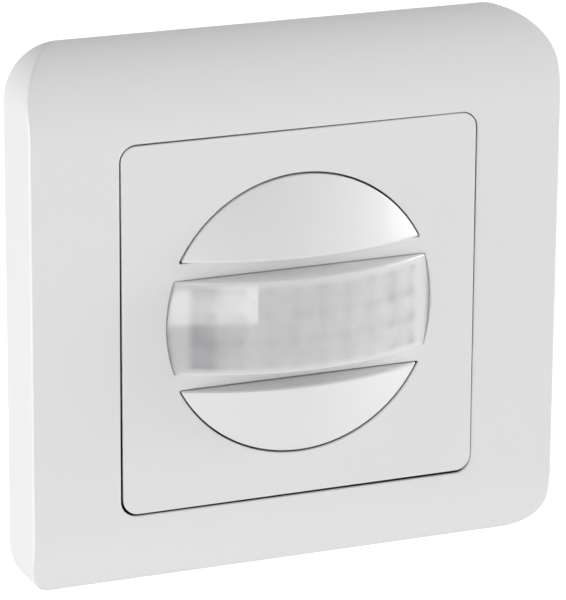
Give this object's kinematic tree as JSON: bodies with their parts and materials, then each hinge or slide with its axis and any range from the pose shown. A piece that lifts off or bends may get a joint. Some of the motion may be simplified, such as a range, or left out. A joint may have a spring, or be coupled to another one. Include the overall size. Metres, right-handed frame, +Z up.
{
  "type": "wall motion sensor",
  "caption": "Flush-mounted wall motion sensor: square cover frame and centre plate with a curved Fresnel lens between two pull-off domed caps, on a wall-box insert with spreading claws.",
  "frame": {"origin": "centre of the unit on the wall surface: the plane of the frame's rear rim and of the mounting ring's rear face", "axes": "-Y is the way the sensor looks, out of the wall; +Y goes into the wall box; +Z is up; +X is to the right as seen from the room"},
  "size_m": [0.0822, 0.0466, 0.0822],
  "materials": {
    "white_plastic": "smooth satin-gloss white moulded plastic",
    "lens_plastic": "milky translucent polyethylene with a fine Fresnel pattern inside",
    "carrier_plastic": "light grey moulded plastic",
    "circuit_board": "green solder mask",
    "zinc_steel": "bright zinc plating",
    "can_metal": "drawn can, satin",
    "dark_window": "dark filter window",
    "led_body": "tinted clear resin",
    "blue_plastic": "blue component body",
    "orange_plastic": "orange adjuster",
    "black_plastic": "black moulded plastic",
    "grey_plastic": "grey glass-filled housing plastic",
    "yellow_film": "yellow capacitor box",
    "fuse_glass": "ceramic fuse body with plated ends",
    "copper_winding": "enamelled copper winding",
    "brass": "plain brass"
  },
  "bodies": {
    "insert_and_front": {"cover_frame": "white_plastic", "centre_plate": "white_plastic", "lens": "lens_plastic", "sensor_head": "carrier_plastic", "sensor_back": "carrier_plastic", "sensor_board": "circuit_board", "pir_can": "can_metal", "pir_window": "dark_window", "light_sensor": "dark_window", "status_led": "led_body", "time_trimmer": "blue_plastic", "lux_trimmer": "blue_plastic", "sensitivity_trimmer": "blue_plastic", "mode_switch_body": "black_plastic", "signal_chip": "black_plastic", "filter_capacitor": "can_metal", "header_plug": "black_plastic", "module_screw_upper": "zinc_steel", "module_screw_lower": "zinc_steel", "mounting_ring": "zinc_steel", "housing_rivet_1": "zinc_steel", "housing_rivet_2": "zinc_steel", "housing_rivet_3": "zinc_steel", "housing_rivet_4": "zinc_steel", "rear_housing": "grey_plastic", "insert_cover": "black_plastic", "header_socket": "black_plastic", "power_board": "circuit_board", "relay": "blue_plastic", "film_capacitor": "yellow_film", "smoothing_capacitor": "black_plastic", "varistor": "blue_plastic", "suppression_choke": "copper_winding", "rectifier": "black_plastic", "fuse": "fuse_glass", "terminal_block": "carrier_plastic", "terminal_pillar_1": "brass", "terminal_pillar_2": "brass", "terminal_pillar_3": "brass"},
    "upper_cap": {"upper_cap": "white_plastic"},
    "lower_cap": {"lower_cap": "white_plastic"},
    "time_dial": {"time_dial": "orange_plastic"},
    "lux_dial": {"lux_dial": "orange_plastic"},
    "sensitivity_dial": {"sensitivity_dial": "orange_plastic"},
    "mode_slider": {"mode_switch_slider": "orange_plastic"},
    "claw_screw_left": {"claw_screw_left": "zinc_steel"},
    "claw_left": {"claw_left": "zinc_steel"},
    "claw_screw_right": {"claw_screw_right": "zinc_steel"},
    "claw_right": {"claw_right": "zinc_steel"},
    "terminal_screw_1": {"terminal_screw_1": "zinc_steel"},
    "terminal_screw_2": {"terminal_screw_2": "zinc_steel"},
    "terminal_screw_3": {"terminal_screw_3": "zinc_steel"}
  },
  "joints": [
    {"name": "upper_cap_pull", "type": "slide", "parent": "insert_and_front", "child": "upper_cap", "axis": [0, -1, 0], "range_m": [0, 0.014]},
    {"name": "lower_cap_pull", "type": "slide", "parent": "insert_and_front", "child": "lower_cap", "axis": [0, -1, 0], "range_m": [0, 0.014]},
    {"name": "time_dial_turn", "type": "hinge", "parent": "insert_and_front", "child": "time_dial", "pos_m": [-0.0092, -0.0065, 0.0134], "axis": [0, -1, 0], "range_deg": [-135, 135]},
    {"name": "lux_dial_turn", "type": "hinge", "parent": "insert_and_front", "child": "lux_dial", "pos_m": [0.0092, -0.0065, 0.0134], "axis": [0, -1, 0], "range_deg": [-135, 135]},
    {"name": "sensitivity_dial_turn", "type": "hinge", "parent": "insert_and_front", "child": "sensitivity_dial", "pos_m": [-0.0092, -0.0065, -0.0134], "axis": [0, -1, 0], "range_deg": [-135, 135]},
    {"name": "mode_switch_slide", "type": "slide", "parent": "insert_and_front", "child": "mode_slider", "axis": [1, 0, 0], "range_m": [-0.0022, 0.0022]},
    {"name": "claw_screw_left_turn", "type": "hinge", "parent": "insert_and_front", "child": "claw_screw_left", "pos_m": [-0.0263, 0.006, 0], "axis": [0, 1, 0], "range_deg": [0, 2160]},
    {"name": "claw_left_swing", "type": "hinge", "parent": "insert_and_front", "child": "claw_left", "pos_m": [-0.0251, 0.0012, 0], "axis": [0, 0, 1], "range_deg": [0, 30]},
    {"name": "claw_screw_right_turn", "type": "hinge", "parent": "insert_and_front", "child": "claw_screw_right", "pos_m": [0.0263, 0.006, 0], "axis": [0, 1, 0], "range_deg": [0, 2160]},
    {"name": "claw_right_swing", "type": "hinge", "parent": "insert_and_front", "child": "claw_right", "pos_m": [0.0251, 0.0012, 0], "axis": [0, 0, -1], "range_deg": [0, 30]},
    {"name": "terminal_screw_1_turn", "type": "hinge", "parent": "insert_and_front", "child": "terminal_screw_1", "pos_m": [-0.008, 0.009, -0.0156], "axis": [0, -1, 0], "range_deg": [0, 1080]},
    {"name": "terminal_screw_2_turn", "type": "hinge", "parent": "insert_and_front", "child": "terminal_screw_2", "pos_m": [0, 0.009, -0.0156], "axis": [0, -1, 0], "range_deg": [0, 1080]},
    {"name": "terminal_screw_3_turn", "type": "hinge", "parent": "insert_and_front", "child": "terminal_screw_3", "pos_m": [0.008, 0.009, -0.0156], "axis": [0, -1, 0], "range_deg": [0, 1080]}
  ],
  "couplings": [
    {"joint": "claw_left_swing", "follows": "claw_screw_left_turn", "ratio": 0.01388},
    {"joint": "claw_right_swing", "follows": "claw_screw_right_turn", "ratio": 0.01388}
  ]
}
